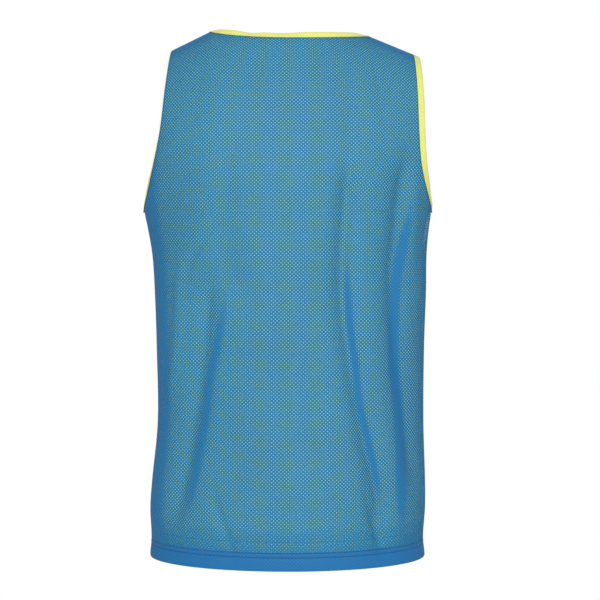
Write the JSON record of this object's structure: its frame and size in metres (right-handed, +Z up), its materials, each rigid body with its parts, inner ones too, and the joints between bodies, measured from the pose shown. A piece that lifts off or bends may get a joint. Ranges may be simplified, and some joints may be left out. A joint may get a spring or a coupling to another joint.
{
  "type": "reversible mesh training bib",
  "caption": "Sleeveless reversible training bib of blue mesh over yellow mesh, with bound neck and armholes and a turned-up hem, filled out as worn.",
  "frame": {"origin": "midway between the neck ends of the two shoulder seams, where the wearer's shoulders carry the bib", "axes": "+Z up, -Y out of the wearer's back, +X towards the wearer's right"},
  "size_m": [0.3911, 0.2396, 0.7104],
  "materials": {
    "blue_mesh": "blue polyester mesh with small even holes, soft sheen",
    "yellow_mesh": "yellow-green polyester mesh with small even holes",
    "yellow_tape": "smooth pale yellow polyester tape"
  },
  "bodies": {
    "root": {"back_panel": "blue_mesh", "front_panel": "blue_mesh", "back_lining": "yellow_mesh", "front_lining": "yellow_mesh", "neck_binding": "yellow_tape", "left_armhole_binding": "yellow_tape", "right_armhole_binding": "yellow_tape"}
  },
  "joints": []
}
